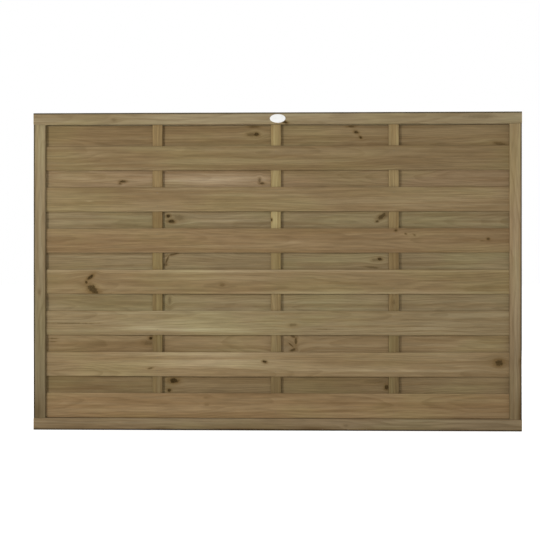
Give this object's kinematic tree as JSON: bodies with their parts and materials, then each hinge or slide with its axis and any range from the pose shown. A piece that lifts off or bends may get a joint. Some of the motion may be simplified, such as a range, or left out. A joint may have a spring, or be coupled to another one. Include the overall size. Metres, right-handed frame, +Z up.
{
  "type": "hit-and-miss fence panel",
  "caption": "Framed timber fence panel: horizontal slats pinned by turns to the front and rear of upright battens, sprung into grooved stiles between a top and a bottom rail.",
  "frame": {"origin": "middle of the bottom rail's underside", "axes": "+X along the panel to the right as the plaque is read, +Y from the front to the rear, +Z up"},
  "size_m": [1.83, 0.048, 1.193],
  "materials": {
    "frame_wood": "planed softwood, pressure treated to a greenish brown, long edges rounded",
    "batten_wood": "planed softwood, pressure treated, yellower than the slats",
    "slat_wood": "planed softwood with knots and streaky grain, pressure treated to an olive brown",
    "pin_steel": "galvanised wire, dulled",
    "plaque_white": "moulded white plastic, satin, blank"
  },
  "bodies": {
    "root": {"top_rail": "frame_wood", "bottom_rail": "frame_wood", "left_stile": "frame_wood", "right_stile": "frame_wood", "left_batten": "batten_wood", "middle_batten": "batten_wood", "right_batten": "batten_wood", "front_slat_1": "slat_wood", "front_slat_2": "slat_wood", "front_slat_3": "slat_wood", "front_slat_4": "slat_wood", "front_slat_5": "slat_wood", "front_slat_6": "slat_wood", "front_slat_7": "slat_wood", "rear_slat_1": "slat_wood", "rear_slat_2": "slat_wood", "rear_slat_3": "slat_wood", "rear_slat_4": "slat_wood", "rear_slat_5": "slat_wood", "rear_slat_6": "slat_wood", "rear_slat_7": "slat_wood", "front_slat_pins": "pin_steel", "rear_slat_pins": "pin_steel", "frame_pins": "pin_steel", "plaque": "plaque_white"}
  },
  "joints": []
}
